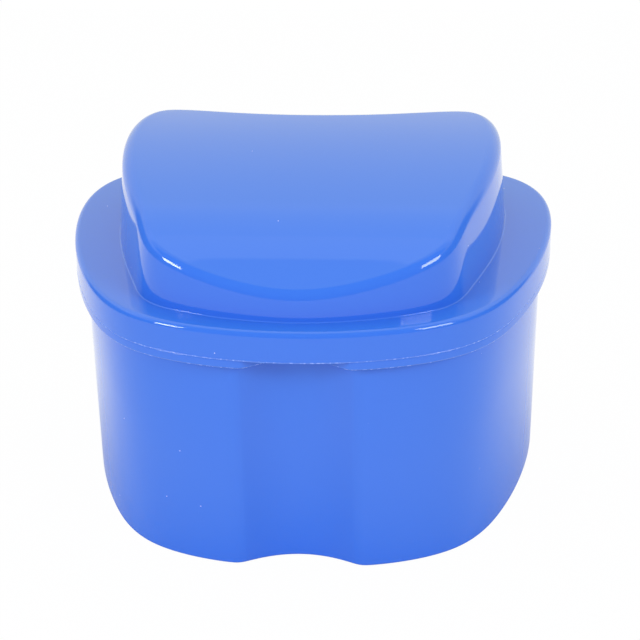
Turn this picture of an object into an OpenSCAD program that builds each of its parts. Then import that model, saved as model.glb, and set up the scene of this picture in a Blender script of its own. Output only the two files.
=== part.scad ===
// Denture case: an open case with a finger groove, a strainer basket that hangs in it, and a
// lift-off lid with a hollow raised grip. Every plan outline is a smooth closed curve, and each
// wall is a skin stretched over rings of that curve, moved in or out and up or down.

/* [Lid] */
// Width of the lid across its widest place
lid_w = 95; // [85:1:105]
// Depth of the lid from front to back
lid_d = 85; // [78:1:96]
// Height of the lid's flat plate above the table
plate_z = 49; // [44:0.2:58]
// Height of the skirt that hangs from the plate
skirt_h = 5.7; // [5.2:0.1:8]
// Thickness of the lid's walls
lid_wall = 1.7; // [1.4:0.1:2]
// Radius of the plate's outer edge
plate_edge_r = 1.3; // [0.6:0.1:1.5]

/* [Raised grip] */
// Width of the grip where it meets the plate
grip_w = 76.4; // [68:0.2:80]
// Depth of the grip where it meets the plate
grip_d = 71; // [64:0.5:74]
// Distance from the lid's front edge to the grip's front
grip_front = 4.3; // [3.5:0.1:6]
// Height of the grip's crown above the plate
grip_h = 16.9; // [15:0.1:20]
// Distance of the crown behind the middle of the lid
crown_y = 14.5; // [8:0.5:20]
// Radius of the top round its crown
crown_r = 218; // [150:2:400]
// Distance from the crown to the line where the top begins to bend down to the front
crown_front = 32.5; // [26:0.5:36]
// Radius of the top in front of that line
front_r = 30; // [26:1:60]
// Lean of the grip's wall, in degrees
grip_draft = 4.8; // [1:0.2:8]
// Radius of the grip's top edge
grip_edge_r = 2.6; // [1.4:0.1:2.8]

/* [Case] */
// Thickness of the case's wall
case_wall = 1.8; // [1.5:0.1:2.2]
// Thickness of the case's floor
case_floor = 2; // [1.5:0.1:3]
// Thickness of the ledge that carries the lid
ledge_t = 1.7; // [1.2:0.1:2.5]
// Distance of the wall inside the ledge's edge, under the ledge
wall_inset = 1.9; // [1.5:0.1:2.4]
// The same distance at the foot
foot_inset = 2.3; // [1.9:0.1:3.5]
// Height of the rim that stands up inside the lid's skirt
rim_h = 2.5; // [1.5:0.1:2.6]
// Width of the finger groove at the top
groove_w = 20; // [16:0.5:24]
// Width of the finger groove at the foot
groove_foot_w = 21.5; // [16:0.5:26]
// Depth of the finger groove
groove_d = 4.6; // [3:0.1:5]
// Softness of the groove's two shoulders
groove_soft = 0.9; // [0.4:0.1:1.5]
// Width of the foot's flat rim
foot_w = 2.4; // [1.5:0.1:4]
// Height of the hollow under the floor, inside the foot's rim
foot_h = 0.8; // [0.4:0.1:1.2]
// Radius between the floor and the wall, inside the case
floor_r = 3; // [2:0.5:6]

/* [Basket] */
// Thickness of the basket's wall and floor
basket_wall = 1.4; // [1.2:0.1:1.8]
// Gap between the basket and the case's wall under the rim
basket_gap = 0.6; // [0.4:0.1:1.5]
// How much further in the basket is at its floor than at its rim
basket_taper = 3.5; // [2:0.5:6]
// Height of the basket's underside above the table
basket_z = 8; // [7:0.5:14]
// Outer radius between the basket's floor and its wall
basket_r = 3; // [2:0.5:5]
// Thickness of the rim that hangs on the case
hook_t = 1.2; // [1:0.1:1.4]
// Diameter of a drain hole
hole_d = 4; // [3:0.5:5]
// Distance between the middles of neighbouring drain holes
hole_pitch = 9; // [8:0.5:12]
// Least distance from a drain hole to the edge of the flat floor
hole_margin = 2.5; // [2.5:0.5:5]
// Width of a slot in the basket's wall
slot_w = 3; // [2:0.5:4]
// Height of a slot in the basket's wall
slot_h = 20; // [10:1:24]
// Height of the slots' lower ends above the basket's underside
slot_z = 6; // [5:0.5:9]
// Angle between neighbouring slots, seen from above
slot_turn = 14; // [12:1:20]

/* [Lifting handle] */
// Place of the handle behind the middle of the lid
handle_y = 6; // [0:0.5:12]
// Outer width of the handle at its top
handle_w = 62; // [50:1:64]
// Width of the strap, from front to back
strap_w = 9; // [6:0.5:12]
// Thickness of the strap
strap_t = 2.4; // [2:0.1:3]
// Gap between the handle's top and the inside of the lid
handle_gap = 1.8; // [1:0.2:4]
// Outer radius of the handle's corners
handle_r = 12; // [8:1:16]
// Height of the handle's feet above the basket's underside
foot_pad_z = 12; // [8:1:14]
// Length of a foot along the basket's wall
foot_pad_h = 8; // [5:1:10]

/* [Hidden] */
plastic_blue = "cornflowerblue";
basket_white = "whitesmoke";

// Corner points of the two plan outlines, front middle to back middle, for the half with x > 0.
// A smooth curve follows them at a small distance and is then fitted to the width and depth.
lid_corners = [[10.5, -43], [31.5, -36.5], [40.5, -20.5], [47, 2], [48.5, 26.5], [39, 41], [14.5, 42.5]];
grip_corners = [[7.5, -38.5], [27.5, -32.5], [30.5, -23], [37.5, -2.5], [39.5, 22.5], [33.5, 36], [14.5, 29]];
// Straight steps to each stretch of a curve: across the groove, round the case, and round the lid
fine_steps = 30;
plain_steps = 5;
lid_steps = 6;
// Steps round a full circle
round_steps = 24;
// Directions of the first and the last slot, seen from above, from the groove's side to the back
slot_first = -62;
slot_last = 80;
// Size of the small slopes that break the sharp edges
edge_break = 0.3;
// Gap between the case's rim and the lid's skirt
rim_gap = 0.35;
// Radius inside the grip's top edge
grip_inner_r = 0.9;

// Heights and places that follow from the driving dimensions
skirt_z = plate_z - skirt_h;
ledge_z = skirt_z - ledge_t;
rim_top = skirt_z + rim_h;
plate_under = plate_z - lid_wall;
grip_y = -lid_d/2 + grip_front + grip_d/2;
bend_y = crown_y - crown_front;
rim_inset = lid_wall + rim_gap;
hook_inset = rim_inset + edge_break;
basket_inset = rim_inset + case_wall + basket_gap;
handle_top = plate_z + crown(handle_y - strap_w/2) - lid_wall - handle_gap;

// Smooth closed curves
function blend(a, b, c, d, t) =
  (pow(1 - t, 3)*a + (3*t*t*t - 6*t*t + 4)*b + (-3*t*t*t + 3*t*t + 3*t + 1)*c + t*t*t*d)/6;
function mirrored(half) = concat(half, [for (i = [len(half)-1:-1:0]) [-half[i][0], half[i][1]]]);
function curve(points, front, other) = let (n = len(points)) [
  for (i = [0:n-1]) let (steps = i == n - 1 ? front : other) for (k = [0:steps-1])
    blend(points[(i+n-1)%n], points[i], points[(i+1)%n], points[(i+2)%n], k/steps)];
function low(ring, k) = min([for (p = ring) p[k]]);
function high(ring, k) = max([for (p = ring) p[k]]);
function fitted(ring, w, d, y) = let (
    mid = (low(ring, 1) + high(ring, 1))/2,
    sx = w/(2*high(ring, 0)),
    sy = d/(high(ring, 1) - low(ring, 1)))
  [for (p = ring) [p[0]*sx, (p[1] - mid)*sy + y]];
function moved_in(ring, inset) = let (n = len(ring)) [
  for (i = [0:n-1]) let (along = ring[(i+1)%n] - ring[(i+n-1)%n])
    ring[i] + inset*[-along[1], along[0]]/norm(along)];
function at_height(ring, z) = [for (p = ring) [p[0], p[1], z]];

case_curve = fitted(curve(mirrored(lid_corners), fine_steps, plain_steps), lid_w, lid_d, 0);
lid_curve = fitted(curve(mirrored(lid_corners), lid_steps, lid_steps), lid_w, lid_d, 0);
grip_curve = fitted(curve(mirrored(grip_corners), lid_steps, lid_steps), grip_w, grip_d, grip_y);

// The finger groove: a parabola across the front, with soft shoulders, that grows wider downwards.
// It is a little wider on a skin that lies further in, so that the wall keeps its thickness.
function groove_width(inset, z) =
  groove_foot_w + (groove_w - groove_foot_w)*z/ledge_z + inset - wall_inset;
function groove_cut(x, w) = let (a = groove_d*(1 - pow(2*x/w, 2))) (a + sqrt(a*a + groove_soft*groove_soft))/2;
function grooved(inset, z) = let (w = groove_width(inset, z)) [
  for (p = moved_in(case_curve, inset)) [p[0], p[1] + (p[1] < 0 ? groove_cut(p[0], w) : 0), z]];
function wall_at(z) = foot_inset + (wall_inset - foot_inset)*z/ledge_z;

// The grip's top, seen from the side: nearly flat round its crown, then bending down to the front
function crown(y) = grip_h - pow(y - crown_y, 2)/(2*crown_r)
  - pow(max(0, bend_y - y), 2)/2*(1/front_r - 1/crown_r);

// A closed skin over rings of equal length, with a flat cap on the first and the last ring
module skin(rings) {
  n = len(rings[0]);
  m = len(rings);
  points = [for (ring = rings) for (p = ring) p];
  sides = [for (j = [0:m-2]) for (i = [0:n-1]) for (face = [
    [j*n + i, j*n + (i+1)%n, (j+1)*n + i], [j*n + (i+1)%n, (j+1)*n + (i+1)%n, (j+1)*n + i]]) face];
  first = [for (i = [n-1:-1:0]) i];
  last = [for (i = [0:n-1]) (m-1)*n + i];
  outward = [for (face = concat([first], sides, [last])) [for (i = [len(face)-1:-1:0]) face[i]]];
  polyhedron(points = points, faces = outward);
}

// The open case: foot rim, drafted wall, ledge for the lid, rim inside the skirt, inside wall, floor
module case() {
  inner_low = foot_inset + case_wall;
  color(plastic_blue) skin([
    grooved(foot_inset + foot_w + foot_h, foot_h),
    grooved(foot_inset + foot_w, 0),
    grooved(foot_inset + edge_break, 0),
    grooved(wall_at(edge_break), edge_break),
    grooved(wall_at(ledge_z), ledge_z),
    grooved(edge_break, ledge_z),
    grooved(0, ledge_z + edge_break),
    grooved(0, skirt_z),
    grooved(rim_inset, skirt_z),
    grooved(rim_inset, rim_top - edge_break),
    grooved(rim_inset + edge_break, rim_top),
    grooved(rim_inset + case_wall, rim_top),
    grooved(inner_low, case_floor + floor_r),
    grooved(inner_low + floor_r*(1 - cos(45)), case_floor + floor_r*(1 - cos(45))),
    grooved(inner_low + floor_r, case_floor)]);
}

// Rings of the grip, outside with thick = 0 and inside with thick = the wall's thickness
function grip_point(p, thick, drop) = [p[0], p[1], plate_z + crown(p[1]) - thick - drop];
function grip_foot(thick, z) = at_height(moved_in(grip_curve, thick + (z - plate_z)*tan(grip_draft)), z);
function grip_edge(thick, r, a) = let (
    mid_h = [for (p = grip_curve) crown(p[1]) - thick],
    walls = moved_in(grip_curve, thick), full = moved_in(grip_curve, thick + 1)) [
  for (i = [0:len(grip_curve)-1]) let (inset = mid_h[i]*tan(grip_draft) + r*(1 - sin(a)))
    grip_point(walls[i] + inset*(full[i] - walls[i]), thick, r*(1 - cos(a)))];
function grip_top(thick, r, s) = let (edge = grip_edge(thick, r, 0), mid = [0, grip_y]) [
  for (p = edge) grip_point(mid + s*([p[0], p[1]] - mid), thick, 0)];
// Sizes of the rings that close the grip's top, and the angles of those round its edge
top_shares = [0.86, 0.7, 0.54, 0.38, 0.22, 0.08];
edge_angles = [90, 72, 54, 36, 18, 0];

// The lid: hollow raised grip, flat plate and skirt, from the grip's inside over the skirt to its top
module lid() {
  color(plastic_blue) skin(concat(
    [for (k = [len(top_shares)-1:-1:0]) grip_top(lid_wall, grip_inner_r, top_shares[k])],
    [for (a = [0, 90]) grip_edge(lid_wall, grip_inner_r, a)],
    [grip_foot(lid_wall, plate_under)],
    [at_height(moved_in(lid_curve, lid_wall), plate_under),
     at_height(moved_in(lid_curve, lid_wall), skirt_z + edge_break),
     at_height(moved_in(lid_curve, lid_wall - edge_break), skirt_z),
     at_height(lid_curve, skirt_z),
     at_height(lid_curve, plate_z - plate_edge_r),
     at_height(moved_in(lid_curve, plate_edge_r*(1 - cos(45))), plate_z - plate_edge_r*(1 - sin(45))),
     at_height(moved_in(lid_curve, plate_edge_r), plate_z)],
    [grip_foot(0, plate_z)],
    [for (a = edge_angles) grip_edge(0, grip_edge_r, a)],
    [for (s = top_shares) grip_top(0, grip_edge_r, s)]));
}

// The basket's skin: floor, tapered wall, hooked rim that hangs on the case, and the inside
function basket_at(z) = basket_inset + basket_taper*(rim_top - z)/(rim_top - basket_z);
module basket_shell() {
  low = basket_at(basket_z);
  bend = basket_r*(1 - cos(45));
  skin([
    grooved(low + basket_r, basket_z),
    grooved(low + bend, basket_z + bend),
    grooved(basket_at(basket_z + basket_r), basket_z + basket_r),
    grooved(basket_inset, rim_top),
    grooved(hook_inset, rim_top),
    grooved(hook_inset, rim_top + hook_t - edge_break),
    grooved(hook_inset + edge_break, rim_top + hook_t),
    grooved(basket_inset + basket_wall, rim_top + hook_t),
    grooved(basket_at(basket_z + basket_r) + basket_wall, basket_z + basket_r),
    grooved(low + basket_r, basket_z + basket_wall)]);
}

// Drain holes in offset rows, wherever a whole hole fits well inside the flat floor
function reach_at(y, ring, near = 4) = max([for (p = ring) abs(p[1] - y) < near ? abs(p[0]) : 0]);
function gap_to(ring, x, y) = min([for (p = ring) norm([p[0] - x, p[1] - y])]);
module drain_holes() {
  row_h = hole_pitch*sin(60);
  edge = grooved(basket_at(basket_z) + basket_r, basket_z);
  rows = floor(lid_d/2/row_h);
  for (j = [-rows:rows], i = [-rows:rows]) let (x = (i + (j % 2)/2)*hole_pitch, y = j*row_h)
    if (abs(x) < reach_at(y, edge) && gap_to(edge, x, y) > hole_d/2 + hole_margin)
      translate([x, y, basket_z - basket_wall]) cylinder(h = 3*basket_wall, r = hole_d/2, $fn = round_steps);
}

// Upright slots round the wall, each with round ends and square to the wall at its place
module slot() {
  rotate([0, 90, 0]) linear_extrude(height = 8*basket_wall, center = true) union() {
    square([slot_h - slot_w, slot_w], center = true);
    for (s = [-1, 1]) translate([s*(slot_h - slot_w)/2, 0]) circle(r = slot_w/2, $fn = round_steps);
  }
}
function nearest(ring, turn) = let (gaps = [for (p = ring) p[0] > 0 ? abs(atan2(p[1], p[0]) - turn) : 360])
  search(min(gaps), gaps)[0];
module wall_slots() {
  z = basket_z + slot_z + slot_h/2;
  ring = moved_in(case_curve, basket_at(z));
  n = len(ring);
  for (turn = [slot_first:slot_turn:slot_last]) let (
      i = nearest(ring, turn), along = ring[(i+1)%n] - ring[(i+n-1)%n], aim = atan2(-along[0], along[1]))
    if (abs(ring[i][1] - handle_y) > strap_w/2 + slot_w) for (side = [0, 1])
      mirror([side, 0, 0]) translate([ring[i][0], ring[i][1], z]) rotate([0, 0, aim]) slot();
}

// The lifting handle: a strap from wall to wall that stands up in the hollow of the lid
module lifting_handle() {
  foot_z = basket_z + foot_pad_z;
  bend_z = foot_z + foot_pad_h;
  foot = [reach_at(handle_y, moved_in(case_curve, basket_at(foot_z) + basket_wall/2)), foot_z];
  bend = [reach_at(handle_y, moved_in(case_curve, basket_at(bend_z) + basket_wall/2)), bend_z];
  corner = [handle_w/2 - handle_r, handle_top - handle_r];
  lean = acos(handle_r/norm(bend - corner)) - atan((corner[1] - bend[1])/(bend[0] - corner[0]));
  outer = concat([foot, bend], handle_arc(corner, handle_r, lean));
  inner = concat([foot - [strap_t, 0], bend - [strap_t, 0]], handle_arc(corner, handle_r - strap_t, lean));
  translate([0, handle_y + strap_w/2, 0]) rotate([90, 0, 0]) linear_extrude(height = strap_w)
    polygon(concat(mirrored(outer), mirrored([for (p = inner) [-p[0], p[1]]])));
}
function handle_arc(mid, r, lean, steps = 8) =
  [for (k = [0:steps]) let (a = lean + (90 - lean)*k/steps) mid + r*[cos(a), sin(a)]];

module strainer_basket() {
  color(basket_white) union() {
    difference() {
      basket_shell();
      drain_holes();
      wall_slots();
    }
    lifting_handle();
  }
}

case();
strainer_basket();
lid();
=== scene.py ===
# %% [markdown]
# A denture case of blue polypropylene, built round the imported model. The frame gives each piece its
# place and its motion, and this script gives it the surface that the eye meets. Everything is in
# metres, with +Z up and the case's finger groove towards -Y.

# %% Load the frame
import math

import bmesh
import bpy
import numpy as np
from mathutils import Matrix, Vector


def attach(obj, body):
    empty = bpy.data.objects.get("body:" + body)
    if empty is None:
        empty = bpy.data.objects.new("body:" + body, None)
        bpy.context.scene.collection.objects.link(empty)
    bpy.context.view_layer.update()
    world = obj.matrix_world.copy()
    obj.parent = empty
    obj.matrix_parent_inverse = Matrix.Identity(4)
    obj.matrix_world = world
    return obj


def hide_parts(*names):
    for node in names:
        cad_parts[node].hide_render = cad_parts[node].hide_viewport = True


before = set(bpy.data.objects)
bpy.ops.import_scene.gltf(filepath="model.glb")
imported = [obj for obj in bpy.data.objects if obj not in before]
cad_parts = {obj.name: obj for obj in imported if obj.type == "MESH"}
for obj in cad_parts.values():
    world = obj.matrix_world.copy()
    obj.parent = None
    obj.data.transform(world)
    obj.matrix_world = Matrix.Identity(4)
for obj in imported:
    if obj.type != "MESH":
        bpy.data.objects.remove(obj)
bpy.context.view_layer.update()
MM = 0.001

# %% [markdown]
# The camera comes first, because every later choice is judged through it. It looks down at 25
# degrees from a hand's reach away, a little to the right of the case's middle. The focal length is
# that of a short portrait lens, so the sides keep nearly their true proportions.

# %% Camera
IMAGE_W = 640
FOCAL_PX = 1700
SENSOR_W = 36
LOOK_AT = Vector((1.9, -0.4, 32.0)) * MM
CAMERA_DISTANCE = 335.2 * MM
LOOK_DOWN = math.radians(25)
TURN = math.radians(3.53)
ROLL = math.radians(0.75)
NEAREST = 10 * MM


def outwards(turn, up):
    """The direction out of the case that is turned from its front and raised from the table."""
    return Vector((math.sin(turn) * math.cos(up), -math.cos(turn) * math.cos(up), math.sin(up)))


def add_camera():
    """The camera, turned about the case by TURN, raised by LOOK_DOWN and rolled a little."""
    data = bpy.data.cameras.new("camera")
    data.sensor_width = SENSOR_W
    data.lens = FOCAL_PX / IMAGE_W * SENSOR_W
    data.clip_start = NEAREST
    camera = bpy.data.objects.new("camera", data)
    bpy.context.scene.collection.objects.link(camera)
    back = outwards(TURN, LOOK_DOWN)
    right = Vector((math.cos(TURN), math.sin(TURN), 0))
    turned = Matrix((right, back.cross(right), back)).transposed().to_4x4()
    place = Matrix.Translation(LOOK_AT + CAMERA_DISTANCE * back)
    camera.matrix_world = place @ turned @ Matrix.Rotation(-ROLL, 4, "Z")
    bpy.context.scene.camera = camera
    return camera


camera = add_camera()
bpy.context.scene.view_settings.view_transform = "Standard"
print("camera: lens", round(camera.data.lens, 1), "mm at", [round(v, 3) for v in camera.location])

# %% [markdown]
# Two small helpers serve every material and every node tree. Colours are written as the sRGB hex
# values that a picture editor shows, but shaders add light in linear numbers, so one function does
# the change, with the curve of the sRGB standard. The other adds a node, sets it and links it in one
# line. A Mix node keeps sockets for numbers and for colours side by side, so those in use are named.

# %% Helpers for colours and nodes
NUMBER_A, NUMBER_B, NUMBER_OUT = 2, 3, 0
COLOUR_A, COLOUR_B, COLOUR_OUT = 6, 7, 2


def linear(code, alpha=1.0):
    """An sRGB hex colour such as "#2F66F2" as the linear numbers that shaders add up."""
    parts = [int(code[i:i + 2], 16) / 255 for i in (1, 3, 5)]
    return tuple(v / 12.92 if v <= 0.04045 else ((v + 0.055) / 1.055) ** 2.4 for v in parts) + (alpha,)


def add(tree, kind, inputs=None, **settings):
    """Adds a node, sets its properties, and sets or links its inputs by name or number."""
    made = tree.nodes.new(kind)
    for name, value in settings.items():
        setattr(made, name, value)
    for name, value in (inputs or {}).items():
        if isinstance(value, bpy.types.NodeSocket):
            tree.links.new(value, made.inputs[name])
        else:
            made.inputs[name].default_value = value
    return made


# %% [markdown]
# A glossy plastic shows the room more than its own colour. The room here is a photo tent of slightly
# warm white cloth, lit more on its left side than on its right. It is open in front, from the table to
# just before its highest point. The camera looks in there, and a little cool light from the room comes
# through. The cloth at the sides begins well above the table, and the dim gap below it shows as a dark
# line in each rounded edge that faces sideways.
# The world is that tent. A direction's y divided by its z tells how far behind the highest point it
# meets the roof, so a list of such places and their light draws the roof's bands and its one seam.

# %% The tent's roof and sides
CLOTH, OPENING = linear("#FFFFEE"), linear("#A5B1FF")
OPENING_LIGHT, LEFT_LIGHT, RIGHT_LIGHT = 0.8, 1.35, 0.85
ROOF = [(-0.12, 0.88), (0.07, 0.88), (0.09, 1.35), (0.34, 1.35), (0.35, 1.05), (0.36, 1.2),
        (1.0, 1.18), (1.3, 1.0)]
ROOF_EDGE, ROOF_FIRST, ROOF_LAST, ROOF_BRIGHTEST = -0.22, -0.3, 1.4, 1.35
HORIZON = 0.001
GAP_TOP, GAP_SOFT, GAP_LIGHT = 0.45, 0.15, 0.5


def lit(colour, light):
    """The colour at a brightness, as red, green, blue and an unused fourth number."""
    return tuple(part * light for part in colour[:3]) + (1,)


def roof_light(tree, parts):
    """The roof's bands, from the edge over the open front to the back, as a colour ramp."""
    up = add(tree, "ShaderNodeMath", {0: parts["Z"], 1: HORIZON}, operation="MAXIMUM").outputs[0]
    behind = add(tree, "ShaderNodeMath", {0: parts["Y"], 1: up}, operation="DIVIDE").outputs[0]
    place = add(tree, "ShaderNodeMapRange", {
        "Value": behind, "From Min": ROOF_FIRST, "From Max": ROOF_LAST}).outputs["Result"]
    ramp = add(tree, "ShaderNodeValToRGB", {"Fac": place})
    stops = ramp.color_ramp.elements
    places = [(ROOF_EDGE, lit(OPENING, OPENING_LIGHT))]
    places += [(where, lit(CLOTH, light)) for where, light in ROOF]
    for _ in places[2:]:
        stops.new(1.0)
    for stop, (where, colour) in zip(stops, places):
        stop.position = (where - ROOF_FIRST) / (ROOF_LAST - ROOF_FIRST)
        stop.color = lit(colour, 1 / ROOF_BRIGHTEST)
    return ramp.outputs["Color"]


def side_light(tree, parts):
    """The cloth at the sides, brighter on the left, over the dim gap above the table."""
    across = add(tree, "ShaderNodeMapRange", {
        "Value": parts["X"], "From Min": -1.0, "From Max": 1.0}).outputs["Result"]
    cloth = add(tree, "ShaderNodeMix", {
        0: across,
        COLOUR_A: lit(CLOTH, LEFT_LIGHT / ROOF_BRIGHTEST),
        COLOUR_B: lit(CLOTH, RIGHT_LIGHT / ROOF_BRIGHTEST)}, data_type="RGBA").outputs[COLOUR_OUT]
    high = add(tree, "ShaderNodeMapRange", {
        "Value": parts["Z"], "From Min": GAP_TOP, "From Max": GAP_TOP + GAP_SOFT}).outputs["Result"]
    return add(tree, "ShaderNodeMix", {
        0: high, COLOUR_A: lit(OPENING, GAP_LIGHT / ROOF_BRIGHTEST), COLOUR_B: cloth},
        data_type="RGBA").outputs[COLOUR_OUT]


print("tent:", len(ROOF), "places on its roof")

# %% [markdown]
# Roof and sides are now joined into one world, with a soft change where a direction leans far enough
# to the side. The camera itself sees plain white, as a product picture has behind its object.

# %% The world
SIDE_FROM, SIDE_SOFT = 0.68, 0.1


def light_the_world():
    """The tent lights the object and is mirrored by it, and the camera sees plain white."""
    world = bpy.data.worlds.new("white_tent")
    world.use_nodes = True
    tree = world.node_tree
    tree.nodes.clear()
    direction = add(tree, "ShaderNodeTexCoord").outputs["Generated"]
    parts = add(tree, "ShaderNodeSeparateXYZ", {0: direction}).outputs
    aside = add(tree, "ShaderNodeMath", {0: parts["X"]}, operation="ABSOLUTE").outputs[0]
    side = add(tree, "ShaderNodeMapRange", {
        "Value": aside, "From Min": SIDE_FROM, "From Max": SIDE_FROM + SIDE_SOFT}).outputs["Result"]
    colour = add(tree, "ShaderNodeMix", {
        0: side, COLOUR_A: roof_light(tree, parts), COLOUR_B: side_light(tree, parts)},
        data_type="RGBA").outputs[COLOUR_OUT]
    tent = add(tree, "ShaderNodeBackground", {"Color": colour, "Strength": ROOF_BRIGHTEST}).outputs[0]
    plain = add(tree, "ShaderNodeBackground", {"Color": linear("#FFFFFF"), "Strength": 1.0}).outputs[0]
    seen = add(tree, "ShaderNodeLightPath").outputs["Is Camera Ray"]
    mixed = add(tree, "ShaderNodeMixShader", {0: seen, 1: tent, 2: plain}).outputs[0]
    add(tree, "ShaderNodeOutputWorld", {"Surface": mixed})
    bpy.context.scene.world = world
    return world


world = light_the_world()
print("world:", world.name, "with", len(world.node_tree.nodes), "nodes")

# %% [markdown]
# The floor is a pale table that fades into the background. Its paint catches the soft shadow under
# the case, which the glossy wall mirrors near its foot. For the camera, and for the mirror image of
# the table a little way from the case, a large share of plain glow lifts it to the white of a product
# picture. The table ends where the gaps under the tent's sides begin.

# %% White table
TABLE_PAINT = "#ECECEC"
FLOOR_HALF = 0.36
FLOOR_GLOW = 0.985
GLOW_FROM, GLOW_FULL = 45 * MM, 75 * MM


def table_paint():
    """Matt pale paint, with a share of white glow for the camera and for far reflections."""
    paint = bpy.data.materials.new("pale_table_paint")
    paint.use_nodes = True
    tree = paint.node_tree
    tree.nodes.clear()
    matt = add(tree, "ShaderNodeBsdfDiffuse", {"Color": linear(TABLE_PAINT)}).outputs[0]
    glow = add(tree, "ShaderNodeEmission", {"Color": linear("#FFFFFF"), "Strength": 1.0}).outputs[0]
    place = add(tree, "ShaderNodeTexCoord").outputs["Object"]
    distance = add(tree, "ShaderNodeVectorMath", {0: place}, operation="LENGTH").outputs["Value"]
    far = add(tree, "ShaderNodeMapRange", {
        "Value": distance, "From Min": GLOW_FROM, "From Max": GLOW_FULL}).outputs["Result"]
    path = add(tree, "ShaderNodeLightPath").outputs
    mirrored = add(tree, "ShaderNodeMath", {
        0: path["Is Glossy Ray"], 1: far}, operation="MULTIPLY").outputs[0]
    seen = add(tree, "ShaderNodeMath", {
        0: path["Is Camera Ray"], 1: mirrored}, operation="MAXIMUM").outputs[0]
    share = add(tree, "ShaderNodeMath", {0: seen, 1: FLOOR_GLOW}, operation="MULTIPLY").outputs[0]
    mixed = add(tree, "ShaderNodeMixShader", {0: share, 1: matt, 2: glow}).outputs[0]
    add(tree, "ShaderNodeOutputMaterial", {"Surface": mixed})
    return paint


def add_floor():
    """A flat square table top under the case."""
    mesh = bpy.data.meshes.new("floor")
    corners = [(x * FLOOR_HALF, y * FLOOR_HALF, 0) for x, y in ((-1, -1), (1, -1), (1, 1), (-1, 1))]
    mesh.from_pydata(corners, [], [(0, 1, 2, 3)])
    mesh.materials.append(table_paint())
    floor = bpy.data.objects.new("floor", mesh)
    bpy.context.scene.collection.objects.link(floor)


add_floor()
print("floor:", 2 * FLOOR_HALF, "m wide, glow share", FLOOR_GLOW)

# %% [markdown]
# Two soft boxes stand to the left and the right of the camera, 25 and 30 degrees up. Each leaves one
# short bright glint on every rounded edge that faces it. An area lamp is used because its width and
# height are what the glint copies. The left one is smaller, and brighter for its size. Their light is
# given in watts for each square metre, so that a change of size keeps the glint's brightness.

# %% Two soft boxes
LAMP_DISTANCE = 0.62
LEFT_BOX = {"width": 0.15, "height": 0.16, "turn": -51, "up": 25, "light": 50.0}
RIGHT_BOX = {"width": 0.21, "height": 0.19, "turn": 51, "up": 30, "light": 30.0}


def add_lamp(name, width, height, turn, up, light):
    """A soft box, turned from the front and raised by so many degrees, and aimed at the case."""
    data = bpy.data.lights.new(name, "AREA")
    data.shape = "RECTANGLE"
    data.size = width
    data.size_y = height
    data.energy = light * width * height
    lamp = bpy.data.objects.new(name, data)
    bpy.context.scene.collection.objects.link(lamp)
    towards = outwards(math.radians(turn), math.radians(up))
    lamp.location = LOOK_AT + LAMP_DISTANCE * towards
    lamp.rotation_euler = towards.to_track_quat("Z", "Y").to_euler()


add_lamp("left_soft_box", **LEFT_BOX)
add_lamp("right_soft_box", **RIGHT_BOX)
print("soft boxes: left", LEFT_BOX["light"], "and right", RIGHT_BOX["light"], "W for each square metre")

# %% [markdown]
# All three pieces follow the same plan outline, a rounded D that is wide at the back and narrow at
# the front. A closed B-spline through a few corner points gives it: it never kinks, and the points
# can be counted on two hands. The grip has its own outline, with a dent in its back. The stretch
# across the front gets more points on the case, because the finger groove is pressed into it there.

# %% Plan outlines
LID_W, LID_D = 95.0, 85.0
GRIP_W, GRIP_D, GRIP_FRONT = 76.4, 71.0, 4.3
GRIP_Y = -LID_D / 2 + GRIP_FRONT + GRIP_D / 2
LID_CORNERS = [
    (10.5, -43), (31.5, -36.5), (40.5, -20.5), (47, 2), (48.5, 26.5), (39, 41), (14.5, 42.5)]
GRIP_CORNERS = [
    (7.5, -38.5), (27.5, -32.5), (30.5, -23), (37.5, -2.5), (39.5, 22.5), (33.5, 36), (14.5, 29)]
STEPS = 28
GROOVE_STEPS = 96


def closed_curve(half, front_steps, steps):
    """A smooth closed curve that follows the corner points and their mirror image."""
    points = np.array(list(half) + [(-x, y) for x, y in reversed(half)], float)
    count = len(points)
    stretches = []
    for i in range(count):
        a, b, c, d = (points[(i + k) % count] for k in (-1, 0, 1, 2))
        many = front_steps if i == count - 1 else steps
        t = (np.arange(many) / many)[:, None]
        stretches.append(((1 - t) ** 3 * a + (3 * t**3 - 6 * t**2 + 4) * b
                          + (-3 * t**3 + 3 * t**2 + 3 * t + 1) * c + t**3 * d) / 6)
    return np.concatenate(stretches)


def fitted(ring, width, depth, y):
    """The ring stretched to a width and a depth, with its middle at y."""
    middle = (ring[:, 1].min() + ring[:, 1].max()) / 2
    scale = np.array([width / (2 * ring[:, 0].max()), depth / np.ptp(ring[:, 1])])
    return (ring - [0, middle]) * scale + [0, y]


lid_curve = fitted(closed_curve(LID_CORNERS, STEPS, STEPS), LID_W, LID_D, 0)
grip_curve = fitted(closed_curve(GRIP_CORNERS, STEPS, STEPS), GRIP_W, GRIP_D, GRIP_Y)
case_curve = fitted(closed_curve(LID_CORNERS, GROOVE_STEPS, STEPS), LID_W, LID_D, 0)
print("outlines:", len(lid_curve), "points on the lid,", len(case_curve), "on the case")

# %% [markdown]
# A moulded wall is drawn as its cross-section: how far in it is and how high, corner by corner, with
# a radius at each corner, as a tool maker would round it. An arc is laid into each corner, tangent to
# both of its sides. A Bevel modifier would round sharp corners too, but with one radius for the whole
# piece.

# %% Rounded sections
CORNER_STEPS = 6
ARC_SHARE = 0.48


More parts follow.
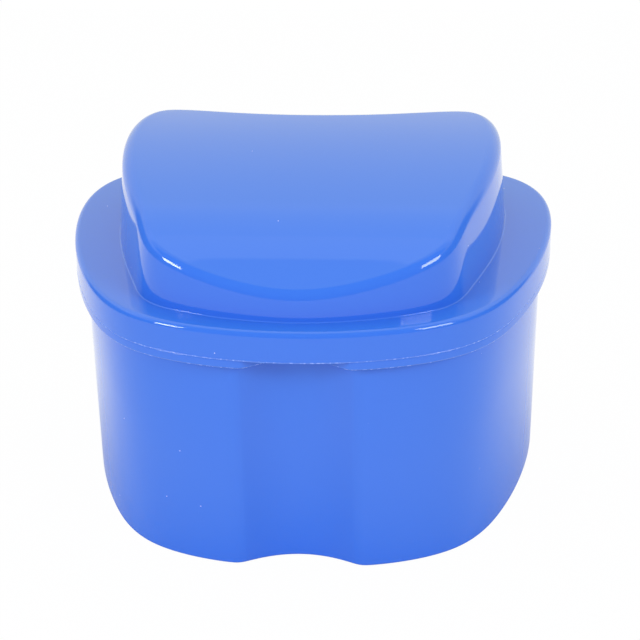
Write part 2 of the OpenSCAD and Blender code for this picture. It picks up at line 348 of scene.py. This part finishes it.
def rounded(corners):
    """Points along a section given as (inset, height, radius), with an arc at each inner corner.

    An arc takes at most ARC_SHARE of the straight side that it joins, so two arcs never meet."""
    points = [np.array(corners[0][:2], float)]
    for before, corner, after in zip(corners, corners[1:], corners[2:]):
        at = np.array(corner[:2], float)
        one = np.array(before[:2], float) - at
        two = np.array(after[:2], float) - at
        one_length, two_length = np.linalg.norm(one), np.linalg.norm(two)
        one, two = one / one_length, two / two_length
        half = math.acos(float(np.clip(one @ two, -1, 1))) / 2
        reach = min(corner[2] / math.tan(half), ARC_SHARE * one_length, ARC_SHARE * two_length)
        centre = at + (one + two) / np.linalg.norm(one + two) * reach / math.cos(half)
        start, end = at + one * reach - centre, at + two * reach - centre
        span = math.acos(float(np.clip(start @ end / (start @ start), -1, 1)))
        for k in range(CORNER_STEPS + 1):
            a = span * k / CORNER_STEPS
            points.append(centre + (math.sin(span - a) * start + math.sin(a) * end) / math.sin(span))
    points.append(np.array(corners[-1][:2], float))
    return points


print("rounded corners:", CORNER_STEPS + 1, "points each")

# %% [markdown]
# Each point of a section becomes a ring round the outline, set in by the point's inset and lifted to
# its height, and a skin is stretched over the rings. Weighted normals let the large flat faces keep
# their true direction, so that a wall mirrors straight up to its rounded edge.

# %% Rings and skins
def inwards(ring):
    """Unit vectors that point from the ring's points to its inside."""
    along = np.roll(ring, -1, 0) - np.roll(ring, 1, 0)
    return np.stack([-along[:, 1], along[:, 0]], 1) / np.linalg.norm(along, axis=1)[:, None]


def at_height(ring, z):
    """The plan ring lifted to z, which is one number or one for each point."""
    return np.column_stack([ring, np.broadcast_to(z, len(ring))])


def plain_mesh(piece):
    """Puts the evaluated result of the piece's modifiers in the place of its mesh."""
    graph = bpy.context.evaluated_depsgraph_get()
    mesh = bpy.data.meshes.new_from_object(piece.evaluated_get(graph))
    piece.modifiers.clear()
    piece.data = mesh


def skin(name, rings):
    """A closed mesh over equal rings in millimetres, with a flat face at each end."""
    work = bmesh.new()
    rows = [[work.verts.new(Vector(p) * MM) for p in ring] for ring in rings]
    count = len(rows[0])
    for low, high in zip(rows, rows[1:]):
        for i in range(count):
            j = (i + 1) % count
            work.faces.new((low[i], low[j], high[j], high[i]))
    work.faces.new(list(reversed(rows[0])))
    work.faces.new(rows[-1])
    bmesh.ops.recalc_face_normals(work, faces=work.faces)
    mesh = bpy.data.meshes.new(name)
    work.to_mesh(mesh)
    work.free()
    mesh.shade_smooth()
    made = bpy.data.objects.new(name, mesh)
    bpy.context.scene.collection.objects.link(made)
    made.modifiers.new("weighted_normals", "WEIGHTED_NORMAL")
    plain_mesh(made)
    return made


# %% [markdown]
# The case is an open bath. Its front has a finger groove that runs down the wall: across the front
# it is a parabola with soft shoulders, so it is added to the ring's points and not cut afterwards,
# which keeps the wall equally thick and the reflections smooth. Its section is two walls back to back:
# the outside goes up over the ledge to the rim, and the inside comes down to the floor. The two laps
# say how far each floor reaches in before a flat face closes it.

# %% Case
PLATE_Z, SKIRT_H, LEDGE_T, RIM_H = 49.0, 5.7, 1.7, 2.5
SKIRT_Z = PLATE_Z - SKIRT_H
LEDGE_Z = SKIRT_Z - LEDGE_T
RIM_TOP = SKIRT_Z + RIM_H
LID_WALL, LID_GAP, CASE_WALL, CASE_FLOOR = 1.7, 0.35, 1.8, 2.0
RIM_INSET = LID_WALL + LID_GAP
WALL_INSET, FOOT_INSET, FOOT_W, FOOT_H = 1.9, 2.3, 2.4, 0.8
UNDER_LAP, FLOOR_LAP = 3, 5
GROOVE_W, GROOVE_FOOT_W, GROOVE_D, GROOVE_SOFT = 20.0, 21.5, 4.6, 0.9


def grooved(inset, z):
    """The case's ring at an inset and a height, with the finger groove pressed into its front."""
    ring = case_curve + inset * inwards(case_curve)
    width = GROOVE_FOOT_W + (GROOVE_W - GROOVE_FOOT_W) * z / LEDGE_Z + inset - WALL_INSET
    bowl = GROOVE_D * (1 - (2 * ring[:, 0] / width) ** 2)
    cut = (bowl + np.sqrt(bowl**2 + GROOVE_SOFT**2)) / 2
    ring[:, 1] += np.where(ring[:, 1] < 0, cut, 0)
    return at_height(ring, z)


def make_case():
    """The open bath, from its foot over the ledge and the rim to its inside floor."""
    foot_end, inside = FOOT_INSET + FOOT_W, FOOT_INSET + CASE_WALL
    section = rounded([
        (foot_end + UNDER_LAP, FOOT_H, 0), (foot_end + FOOT_H, FOOT_H, 0.4), (foot_end, 0, 0.2),
        (FOOT_INSET, 0, 0.5), (WALL_INSET, LEDGE_Z, 0.3), (0, LEDGE_Z, 0.35), (0, SKIRT_Z, 0.15),
        (RIM_INSET, SKIRT_Z, 0.3), (RIM_INSET, RIM_TOP, 0.5), (RIM_INSET + CASE_WALL, RIM_TOP, 0.5),
        (inside, CASE_FLOOR, 3), (inside + FLOOR_LAP, CASE_FLOOR, 0)])
    return skin("case_bath", [grooved(inset, z) for inset, z in section])


case_bath = make_case()
print("case:", len(case_bath.data.polygons), "faces")

# %% [markdown]
# The lid's raised grip is hollow. Its top is nearly flat at the back and bends down to the front,
# so its wall is tall at the back and low at the front. The edge between top and wall has one radius
# all round. At each point of the outline the arc is laid tangent to the leaning wall and to the
# sloping top, because a glossy edge shows every kink. Where the arc starts depends on the top's slope
# at its end, and that on where it starts, so a few passes settle the two.

# %% The grip's top and its rounded edge
GRIP_H, CROWN_Y, CROWN_R, CROWN_FRONT, FRONT_R = 16.9, 14.5, 218.0, 32.5, 30.0
GRIP_LEAN = math.radians(4.8)
EDGE_STEPS, EDGE_PASSES, FIRST_RISE, SLOPE_STEP = 12, 8, 0.8 * GRIP_H, 0.01
TOP_RINGS, TOP_MIDDLE = 26, 0.01


def crown(y):
    """Height of the grip's top above the plate."""
    bend = np.maximum(0, CROWN_Y - CROWN_FRONT - y)
    return GRIP_H - (y - CROWN_Y) ** 2 / (2 * CROWN_R) - bend**2 / 2 * (1 / FRONT_R - 1 / CROWN_R)


def grip_edge(thick, radius):
    """Rings of the arc between the grip's wall and its top, for the skin at a depth of thick."""
    to_inside = inwards(grip_curve)
    foot = grip_curve + thick * to_inside
    rise = np.full(len(foot), FIRST_RISE)
    for _ in range(EDGE_PASSES):
        reach = rise * math.tan(GRIP_LEAN) + radius / math.cos(GRIP_LEAN)
        y = foot[:, 1] + reach * to_inside[:, 1]
        slope = np.arctan((crown(y + SLOPE_STEP * to_inside[:, 1]) - crown(y)) / SLOPE_STEP)
        rise = crown(y) - thick - radius / np.cos(slope)
    rings = []
    for k in range(EDGE_STEPS + 1):
        angle = (math.pi - GRIP_LEAN) + (math.pi / 2 + slope - math.pi + GRIP_LEAN) * k / EDGE_STEPS
        inset = reach + radius * np.cos(angle)
        height = PLATE_Z + rise + radius * np.sin(angle)
        rings.append(np.column_stack([foot + inset[:, None] * to_inside, height]))
    return rings


def grip_top(edge, thick):
    """Rings that close the grip's top inside its edge; each lies on the crowned surface."""
    middle = np.array([0, GRIP_Y])
    rings = []
    for share in np.linspace(1, TOP_MIDDLE, TOP_RINGS)[1:]:
        ring = middle + share * (edge[:, :2] - middle)
        rings.append(at_height(ring, PLATE_Z + crown(ring[:, 1]) - thick))
    return rings


print("grip:", round(float(crown(CROWN_Y)), 1), "mm high at the back and",
      round(float(crown(grip_curve[:, 1].min())), 1), "at the front")

# %% [markdown]
# The lid is one skin, from the inside of the grip down to the skirt, round its lower edge and up over
# the plate to the grip's top. The skirt's lower edge carries what is left of the moulding flash: a
# sliver of plastic that stands out by a seventh of a millimetre at most, ragged from the knife, and
# thinner towards the back, where nobody sees it. The random numbers behind it have a fixed seed.

# %% Lid
GRIP_EDGE_R, GRIP_INNER_R, GRIP_FOOT_R, PLATE_EDGE_R = 2.6, 0.9, 0.25, 1.3
FLASH_W, FLASH_H, FLASH_SEED = 0.14, 0.14, 4
FLASH_LEAST, FLASH_BEHIND = 0.3, 0.1
PLATE_LAP = 1


def grip_foot(radius):
    """Rings of the small fillet between the plate and the grip's wall, from the plate upwards."""
    to_inside = inwards(grip_curve)
    centre = radius * math.tan(GRIP_LEAN) - radius / math.cos(GRIP_LEAN)
    rings = []
    for k in range(CORNER_STEPS + 1):
        angle = -math.pi / 2 + (math.pi / 2 - GRIP_LEAN) * k / CORNER_STEPS
        ring = grip_curve + (centre + radius * math.cos(angle)) * to_inside
        rings.append(at_height(ring, PLATE_Z + radius + radius * math.sin(angle)))
    return rings


def skirt(under):
    """Rings from the plate's underside round the skirt, with its flash, to the plate's top."""
    to_inside = inwards(lid_curve)
    ragged = np.random.default_rng(FLASH_SEED).uniform(FLASH_LEAST, 1.0, len(lid_curve))
    trim = ragged * np.clip(to_inside[:, 1], FLASH_BEHIND, 1)
    section = rounded([
        (LID_WALL + PLATE_LAP, under, 0), (LID_WALL, under, 0.5), (LID_WALL, SKIRT_Z, 0.2),
        (-FLASH_W, SKIRT_Z, 0.05), (-FLASH_W, SKIRT_Z + FLASH_H, 0.05), (0, SKIRT_Z + FLASH_H, 0.1),
        (0, PLATE_Z, PLATE_EDGE_R), (PLATE_EDGE_R + PLATE_LAP, PLATE_Z, 0)])
    rings = []
    for inset, z in section:
        out = inset if inset > 0 else inset * trim[:, None]
        rings.append(at_height(lid_curve + out * to_inside, z))
    return rings


def make_lid():
    """The lid, from the inside of its grip over the skirt and the plate to the grip's top."""
    inner_edge = grip_edge(LID_WALL, GRIP_INNER_R)
    outer_edge = grip_edge(0, GRIP_EDGE_R)
    under = PLATE_Z - LID_WALL
    lean = LID_WALL * math.tan(GRIP_LEAN)
    inside_foot = at_height(grip_curve + (LID_WALL - lean) * inwards(grip_curve), under)
    rings = grip_top(inner_edge[-1], LID_WALL)[::-1] + inner_edge[::-1] + [inside_foot]
    rings += skirt(under)
    rings += grip_foot(GRIP_FOOT_R) + outer_edge + grip_top(outer_edge[-1], 0)
    return skin("lid_shell", rings)


lid_shell = make_lid()
print("lid:", len(lid_shell.data.polygons), "faces")

# %% [markdown]
# The strainer basket hangs in the case by its hooked rim. Its shell is the same kind of skin as the
# case, a little smaller, so it has the finger groove too and drops in only one way round. It narrows
# towards its floor, which lets it leave its mould and keeps it clear of the case.

# %% Basket shell
BASKET_WALL, BASKET_GAP, BASKET_TAPER, BASKET_Z, BASKET_R, HOOK_T = 1.4, 0.6, 3.5, 8.0, 3.0, 1.2
HOOK_BACK, BASKET_LAP = 0.3, 1
BASKET_INSET = RIM_INSET + CASE_WALL + BASKET_GAP
HOOK_INSET = RIM_INSET + HOOK_BACK


def basket_at(z):
    """How far in the basket's outside is at height z; it tapers towards its floor."""
    return BASKET_INSET + BASKET_TAPER * (RIM_TOP - z) / (RIM_TOP - BASKET_Z)


def make_basket():
    """The basket's shell, from its underside over the hooked rim to its inside floor."""
    low, hook_top, floor = basket_at(BASKET_Z), RIM_TOP + HOOK_T, BASKET_Z + BASKET_WALL
    section = rounded([
        (low + BASKET_R + BASKET_LAP, BASKET_Z, 0), (low, BASKET_Z, BASKET_R),
        (BASKET_INSET, RIM_TOP, 0.2), (HOOK_INSET, RIM_TOP, 0.2), (HOOK_INSET, hook_top, 0.4),
        (BASKET_INSET + BASKET_WALL, hook_top, 0.4), (low + BASKET_WALL, floor, BASKET_R - BASKET_WALL),
        (low + BASKET_R + BASKET_LAP, floor, 0)])
    return skin("basket_shell", [grooved(inset, z) for inset, z in section])


basket_shell = make_basket()
print("basket shell:", len(basket_shell.data.polygons), "faces before its openings")

# %% [markdown]
# The openings are many and all alike, so Geometry Nodes cut them later, and here only their places are
# worked out: offset rows of drain holes on the floor, and slots at equal turns round the wall. A slot
# that would meet one of the handle's feet is left out.

# %% Places of the openings
HOLE_D, HOLE_PITCH, HOLE_MARGIN = 4.0, 9.0, 2.5
ROW_ANGLE = math.radians(60)
SLOT_W, SLOT_H, SLOT_Z = 3.0, 20.0, 6.0
SLOT_FIRST, SLOT_LAST, SLOT_TURN = -62, 80, 14
HANDLE_Y, STRAP_W, STRAP_T = 6.0, 9.0, 2.4
LEVEL_WITH = 4


def hole_places():
    """Middles of the drain holes, in offset rows, where a whole hole fits inside the flat floor."""
    edge = grooved(basket_at(BASKET_Z) + BASKET_R, BASKET_Z)[:, :2]
    row = HOLE_PITCH * math.sin(ROW_ANGLE)
    rows = int(LID_D / 2 / row)
    places = []
    for j in range(-rows, rows + 1):
        for i in range(-rows, rows + 1):
            x, y = (i + math.fmod(j, 2) / 2) * HOLE_PITCH, j * row
            reach = np.abs(edge[np.abs(edge[:, 1] - y) < LEVEL_WITH, 0]).max(initial=0)
            gap = np.linalg.norm(edge - [x, y], axis=1).min()
            if abs(x) < reach and gap > HOLE_D / 2 + HOLE_MARGIN:
                places.append((x, y, BASKET_Z + BASKET_WALL / 2, 0))
    return places


def slot_places():
    """Middles of the upright slots and the directions that they face, clear of the handle's feet."""
    z = BASKET_Z + SLOT_Z + SLOT_H / 2
    ring = case_curve + basket_at(z) * inwards(case_curve)
    facing = -inwards(ring)
    around = np.degrees(np.arctan2(ring[:, 1], ring[:, 0]))
    places = []
    for turn in range(SLOT_FIRST, SLOT_LAST + 1, SLOT_TURN):
        i = int(np.where(ring[:, 0] > 0, np.abs(around - turn), np.inf).argmin())
        if abs(ring[i, 1] - HANDLE_Y) <= STRAP_W / 2 + SLOT_W:
            continue
        for side in (1, -1):
            way = math.atan2(facing[i, 1], side * facing[i, 0])
            places.append((side * ring[i, 0], ring[i, 1], z, way))
    return places


print("openings:", len(hole_places()), "holes and", len(slot_places()), "slots")

# %% [markdown]
# A node tree takes the shell and the places and cuts the openings. Its cutters come first. A hole is a
# cylinder. A slot is the convex hull of two lying cylinders, which gives it round ends. Each place
# carries the direction that its cutter faces, and the cutters become real geometry before the cut.

# %% Cutters for the openings
ROUND_STEPS = 32


def round_cutter(tree, given, diameter):
    """An upright cylinder of a diameter, as long as the cut is deep."""
    radius = add(tree, "ShaderNodeMath", {0: diameter, 1: 0.5}, operation="MULTIPLY").outputs[0]
    return add(tree, "GeometryNodeMeshCylinder", {
        "Vertices": ROUND_STEPS, "Radius": radius, "Depth": given["Cut Depth"]}).outputs["Mesh"]


def slot_cutter(tree, given):
    """The hull of two lying cylinders, each half the slot's straight length from its middle."""
    lying = add(tree, "GeometryNodeTransform", {
        "Geometry": round_cutter(tree, given, given["Slot Width"]),
        "Rotation": (0, math.radians(90), 0)}).outputs[0]
    straight = add(tree, "ShaderNodeMath", {
        0: given["Slot Height"], 1: given["Slot Width"]}, operation="SUBTRACT").outputs[0]
    ends = add(tree, "GeometryNodeJoinGeometry")
    for share in (-0.5, 0.5):
        rise = add(tree, "ShaderNodeMath", {0: straight, 1: share}, operation="MULTIPLY").outputs[0]
        shift = add(tree, "ShaderNodeCombineXYZ", {"Z": rise}).outputs[0]
        end = add(tree, "GeometryNodeTransform", {"Geometry": lying, "Translation": shift}).outputs[0]
        tree.links.new(end, ends.inputs[0])
    return add(tree, "GeometryNodeConvexHull", {0: ends.outputs[0]}).outputs[0]


def at_places(tree, places, cutter):
    """The cutter at each of the places, turned to face its way, as real geometry."""
    points = add(tree, "GeometryNodeObjectInfo", {"Object": places}).outputs["Geometry"]
    facing = add(tree, "GeometryNodeInputNamedAttribute", {
        "Name": "facing"}, data_type="FLOAT").outputs["Attribute"]
    turn = add(tree, "ShaderNodeCombineXYZ", {"Z": facing}).outputs[0]
    made = add(tree, "GeometryNodeInstanceOnPoints", {
        "Points": points, "Instance": cutter, "Rotation": turn}).outputs[0]
    return add(tree, "GeometryNodeRealizeInstances", {0: made}).outputs[0]


print("cutters:", ROUND_STEPS, "steps round each hole and each slot's end")

# %% [markdown]
# The tree itself has a named input for each size, so the same tree would cut another basket. It takes
# the cutters away from the shell in one exact cut, and ends in plain mesh with its material set, so
# that nothing is left to work out later.

# %% Node tree for the openings
TREE_INPUTS = {
    "Shell": "Geometry", "Hole Places": "Object", "Slot Places": "Object",
    "Hole Diameter": "Float", "Slot Width": "Float", "Slot Height": "Float", "Cut Depth": "Float"}


def openings_tree(material):
    """A node group that cuts round holes and round-ended slots, and the names of its inputs."""
    tree = bpy.data.node_groups.new("cut_openings", "GeometryNodeTree")
    sockets = {}
    for name, kind in TREE_INPUTS.items():
        made = tree.interface.new_socket(name, in_out="INPUT", socket_type="NodeSocket" + kind)
        sockets[name] = made.identifier
    tree.interface.new_socket("Mesh", in_out="OUTPUT", socket_type="NodeSocketGeometry")
    given = add(tree, "NodeGroupInput").outputs
    holes = at_places(tree, given["Hole Places"], round_cutter(tree, given, given["Hole Diameter"]))
    slots = at_places(tree, given["Slot Places"], slot_cutter(tree, given))
    cut = add(tree, "GeometryNodeMeshBoolean", {
        "Mesh 1": given["Shell"]}, operation="DIFFERENCE", solver="EXACT")
    for cutters in (holes, slots):
        tree.links.new(cutters, cut.inputs["Mesh 2"])
    real = add(tree, "GeometryNodeRealizeInstances", {0: cut.outputs["Mesh"]}).outputs[0]
    painted = add(tree, "GeometryNodeSetMaterial", {"Geometry": real, "Material": material}).outputs[0]
    add(tree, "NodeGroupOutput", {0: painted})
    return tree, sockets


# %% [markdown]
# The basket is natural white polypropylene. Its mould isn't polished, so it comes out satin, and the
# plastic is a little milky: light sinks in before it comes back, which softens its inside corners. The
# grain of a satin mould is finer than this picture can show, so it is drawn coarser, at 0.6 mm.

# %% White polypropylene
WHITE, SATIN, WHITE_IOR = "#D4D6D2", 0.34, 1.5
GRAIN_SIZE, GRAIN_HEIGHT, GRAIN_DETAIL = 0.6 * MM, 0.006 * MM, 2.0
MILKY_SHARE, MILKY_DEPTH, MILKY_REACH = 0.25, 1.5 * MM, (1.0, 0.95, 0.85)


def white_polypropylene():
    """Natural white plastic, satin and a little milky; red light reaches deepest into it."""
    material = bpy.data.materials.new("white_polypropylene")
    material.use_nodes = True
    tree = material.node_tree
    tree.nodes.clear()
    place = add(tree, "ShaderNodeTexCoord").outputs["Object"]
    grain = add(tree, "ShaderNodeTexNoise", {
        "Vector": place, "Scale": 1 / GRAIN_SIZE, "Detail": GRAIN_DETAIL}).outputs["Fac"]
    bump = add(tree, "ShaderNodeBump", {
        "Height": grain, "Strength": 1.0, "Distance": GRAIN_HEIGHT}).outputs[0]
    shader = add(tree, "ShaderNodeBsdfPrincipled", {
        "Base Color": linear(WHITE), "Roughness": SATIN, "IOR": WHITE_IOR,
        "Subsurface Weight": MILKY_SHARE, "Subsurface Radius": MILKY_REACH,
        "Subsurface Scale": MILKY_DEPTH, "Normal": bump})
    add(tree, "ShaderNodeOutputMaterial", {"Surface": shader.outputs[0]})
    return material


white = white_polypropylene()
print("material:", white.name)

# %% [markdown]
# Now the shell gets its openings. The places go in as two objects of loose points, which are needed
# only while the tree works. The cutters are eight walls deep, so that each goes right through the wall
# or the floor that it stands in. Afterwards every edge that turns sharply is marked sharp, because the
# rims of the openings are crisp in a moulded piece.

# %% Cut the openings
CUT_DEPTH = 8 * BASKET_WALL
SHARP_FROM = math.radians(32)


def places_object(name, places):
    """A mesh of loose points in metres, each with a direction called facing."""
    mesh = bpy.data.meshes.new(name)
    mesh.from_pydata([tuple(v * MM for v in place[:3]) for place in places], [], [])
    facing = mesh.attributes.new("facing", "FLOAT", "POINT")
    facing.data.foreach_set("value", [place[3] for place in places])
    return bpy.data.objects.new(name, mesh)


def cut_openings(shell, material):
    """Cuts the drain holes and the slots into the shell and paints it."""
    tree, sockets = openings_tree(material)
    holes = places_object("hole_places", hole_places())
    slots = places_object("slot_places", slot_places())
    sizes = {
        "Hole Places": holes, "Slot Places": slots, "Hole Diameter": HOLE_D * MM,
        "Slot Width": SLOT_W * MM, "Slot Height": SLOT_H * MM, "Cut Depth": CUT_DEPTH * MM}
    openings = shell.modifiers.new("openings", "NODES")
    openings.node_group = tree
    for name, value in sizes.items():
        openings[sockets[name]] = value
    plain_mesh(shell)
    shell.data.shade_smooth()
    shell.data.set_sharp_from_angle(angle=SHARP_FROM)
    for helper in (holes, slots):
        bpy.data.objects.remove(helper)


cut_openings(basket_shell, white)
print("basket shell:", len(basket_shell.data.polygons), "faces with its openings")

# %% [markdown]
# The lifting handle is a flat strap that bends over the basket from wall to wall and stands up in the
# lid's hollow. Its side view is drawn as corners with radii, like a moulded wall's section. A small
# rounded rectangle is then carried along that line.

# %% Lifting handle
HANDLE_W, HANDLE_GAP, HANDLE_R, LEG_R = 62.0, 1.8, 12.0, 6
FOOT_PAD_Z, FOOT_PAD_H = 12.0, 8.0
STRAP_EDGE_R = 0.8


def handle_line():
    """The strap's middle line as x and z, from the foot at +X over the top to the other foot."""
    top = PLATE_Z + float(crown(HANDLE_Y - STRAP_W / 2)) - LID_WALL - HANDLE_GAP - STRAP_T / 2
    radius = HANDLE_R - STRAP_T / 2
    corner = np.array([HANDLE_W / 2 - HANDLE_R, top - radius])
    legs = []
    for z in (BASKET_Z + FOOT_PAD_Z, BASKET_Z + FOOT_PAD_Z + FOOT_PAD_H):
        ring = case_curve + (basket_at(z) + BASKET_WALL / 2) * inwards(case_curve)
        level = ring[np.abs(ring[:, 1] - HANDLE_Y) < LEVEL_WITH, 0]
        legs.append(np.array([level.max() - STRAP_T / 2, z]))
    along = legs[1] - corner
    lean = math.acos(radius / np.linalg.norm(along)) + math.atan2(along[1], along[0])
    shoulder = corner[0] + radius * (1 - math.sin(lean)) / math.cos(lean)
    half = [(*legs[0], 0), (*legs[1], LEG_R), (shoulder, top, radius)]
    return rounded(half + [(-x, z, r) for x, z, r in reversed(half)])


def make_handle():
    """The strap, as rounded rectangles square to its middle line."""
    line = np.array(handle_line())
    along = np.gradient(line, axis=0)
    along /= np.linalg.norm(along, axis=1)[:, None]
    t, w, r = STRAP_T / 2, STRAP_W / 2, STRAP_EDGE_R
    section = rounded([(-t, 0, 0), (-t, w, r), (t, w, r), (t, -w, r), (-t, -w, r), (-t, 0, 0)])[:-1]
    rings = []
    for (x, z), (dx, dz) in zip(line, along):
        rings.append([(x - out * dz, HANDLE_Y + side, z + out * dx) for out, side in section])
    return skin("lifting_handle", rings)


lifting_handle = make_handle()
lifting_handle.data.materials.append(white)
print("handle:", len(lifting_handle.data.polygons), "faces")

# %% [markdown]
# The case and the lid are glossy moulded polypropylene, coloured through. Its skin copies a polished
# mould, so it is nearly a mirror at a flat angle, with the faint waves that thick plastic gets as it
# cools. A few grains of dust lie on it, one at the middle of each cell of a Voronoi pattern.

# %% Blue polypropylene's colours and dust
BLUE, PALE_BLUE, DUST_WHITE = "#3C7CDB", "#A5C3F2", "#E4ECFF"
POLISH, RAGGED, BLUE_IOR = 0.05, 0.45, 1.55
WAVE_SIZE, WAVE_HEIGHT, WAVE_DETAIL = 22 * MM, 0.03 * MM, 1.0
DUST_CELL, DUST_SIZE, DUST_CORE = 5 * MM, 0.12 * MM, 0.6


def dust(tree, place):
    """One where a grain of dust lies, with a soft edge, and zero elsewhere."""
    middle = add(tree, "ShaderNodeTexVoronoi", {
        "Vector": place, "Scale": 1 / DUST_CELL}).outputs["Distance"]
    return add(tree, "ShaderNodeMapRange", {
        "Value": middle, "From Min": DUST_SIZE / DUST_CELL,
        "From Max": DUST_CORE * DUST_SIZE / DUST_CELL}).outputs["Result"]


print("dust: grains of", DUST_SIZE / MM, "mm, about", round(DUST_CELL / MM), "mm apart")

# %% [markdown]
# Along the foot of the lid's skirt the flash was trimmed by hand, and bent plastic turns pale there, in
# a thin ragged line. The foot of the case's ledge gets a pale line of the same make, which is a painted
# highlight: the light that its rounded lower edge would catch. Each line is a band at one height, and
# noise makes it stronger and weaker along its way. Dust, trimmed plastic and the painted highlight are
# all made rough, so one mask serves for them.

# %% Blue polypropylene
PALE_LINE_BAND, PALE_LINE_CORE = 0.12 * MM, 0.7
PALE_LINE_GRAIN, PALE_LINE_DETAIL = 0.7 * MM, 3.0
PALE_LINE_FROM, PALE_LINE_FULL, PALE_LINE_FAINT = 0.5, 0.68, 0.3


def trim_and_highlight_line(tree, place, trim_and_highlight_z):
    """How pale the line is, trimmed flash on the lid and a painted highlight on the case: nothing away
    from its height, and uneven along it.
    """
    height = add(tree, "ShaderNodeSeparateXYZ", {0: place}).outputs["Z"]
    off = add(tree, "ShaderNodeMath", {0: height, 1: trim_and_highlight_z * MM}, operation="SUBTRACT").outputs[0]
    away = add(tree, "ShaderNodeMath", {0: off}, operation="ABSOLUTE").outputs[0]
    band = add(tree, "ShaderNodeMapRange", {
        "Value": away, "From Min": PALE_LINE_BAND, "From Max": PALE_LINE_CORE * PALE_LINE_BAND}).outputs["Result"]
    grain = add(tree, "ShaderNodeTexNoise", {
        "Vector": place, "Scale": 1 / PALE_LINE_GRAIN, "Detail": PALE_LINE_DETAIL}).outputs["Fac"]
    paleness = add(tree, "ShaderNodeMapRange", {
        "Value": grain, "From Min": PALE_LINE_FROM, "From Max": PALE_LINE_FULL,
        "To Min": PALE_LINE_FAINT}).outputs["Result"]
    return add(tree, "ShaderNodeMath", {0: band, 1: paleness}, operation="MULTIPLY").outputs[0]


def blue_polypropylene(name, trim_and_highlight_z):
    """Glossy blue plastic with waves and dust, and a thin pale line at one height: trimmed flash on the
    lid, a painted highlight on the case.
    """
    material = bpy.data.materials.new(name)
    material.use_nodes = True
    tree = material.node_tree
    tree.nodes.clear()
    place = add(tree, "ShaderNodeTexCoord").outputs["Object"]
    waves = add(tree, "ShaderNodeTexNoise", {
        "Vector": place, "Scale": 1 / WAVE_SIZE, "Detail": WAVE_DETAIL}).outputs["Fac"]
    bump = add(tree, "ShaderNodeBump", {
        "Height": waves, "Strength": 1.0, "Distance": WAVE_HEIGHT}).outputs[0]
    dusty = dust(tree, place)
    trim_and_highlight = trim_and_highlight_line(tree, place, trim_and_highlight_z)
    colour = add(tree, "ShaderNodeMix", {
        0: dusty, COLOUR_A: linear(BLUE), COLOUR_B: linear(DUST_WHITE)},
        data_type="RGBA").outputs[COLOUR_OUT]
    colour = add(tree, "ShaderNodeMix", {
        0: trim_and_highlight, COLOUR_A: colour, COLOUR_B: linear(PALE_BLUE)},
        data_type="RGBA").outputs[COLOUR_OUT]
    marks = add(tree, "ShaderNodeMath", {0: dusty, 1: trim_and_highlight}, operation="MAXIMUM").outputs[0]
    rough = add(tree, "ShaderNodeMix", {
        0: marks, NUMBER_A: POLISH, NUMBER_B: RAGGED}).outputs[NUMBER_OUT]
    shader = add(tree, "ShaderNodeBsdfPrincipled", {
        "Base Color": colour, "Roughness": rough, "IOR": BLUE_IOR, "Normal": bump})
    add(tree, "ShaderNodeOutputMaterial", {"Surface": shader.outputs[0]})
    return material


# The case's pale line at the foot of its ledge is a painted highlight; the lid's is trimmed flash.
case_blue = blue_polypropylene("blue_polypropylene_case", LEDGE_Z + PALE_LINE_BAND / MM)
lid_blue = blue_polypropylene("blue_polypropylene_lid", SKIRT_Z + FLASH_H / 2)
case_bath.data.materials.append(case_blue)
lid_shell.data.materials.append(lid_blue)
print("materials:", case_blue.name, "and", lid_blue.name)

# %% [markdown]
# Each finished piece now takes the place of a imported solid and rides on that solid's body, so it
# follows the body when the lid or the basket is lifted. The handle is part of the basket's moulding,
# so both of the basket's meshes replace the same solid and ride on the same body.

# %% Ride on the frame
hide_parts("case")
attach(case_bath, "case")
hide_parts("lid")
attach(lid_shell, "lid")
for piece in (basket_shell, lifting_handle):
    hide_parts("strainer_basket")
    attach(piece, "basket")
print("riding: 4 pieces on 3 bodies")
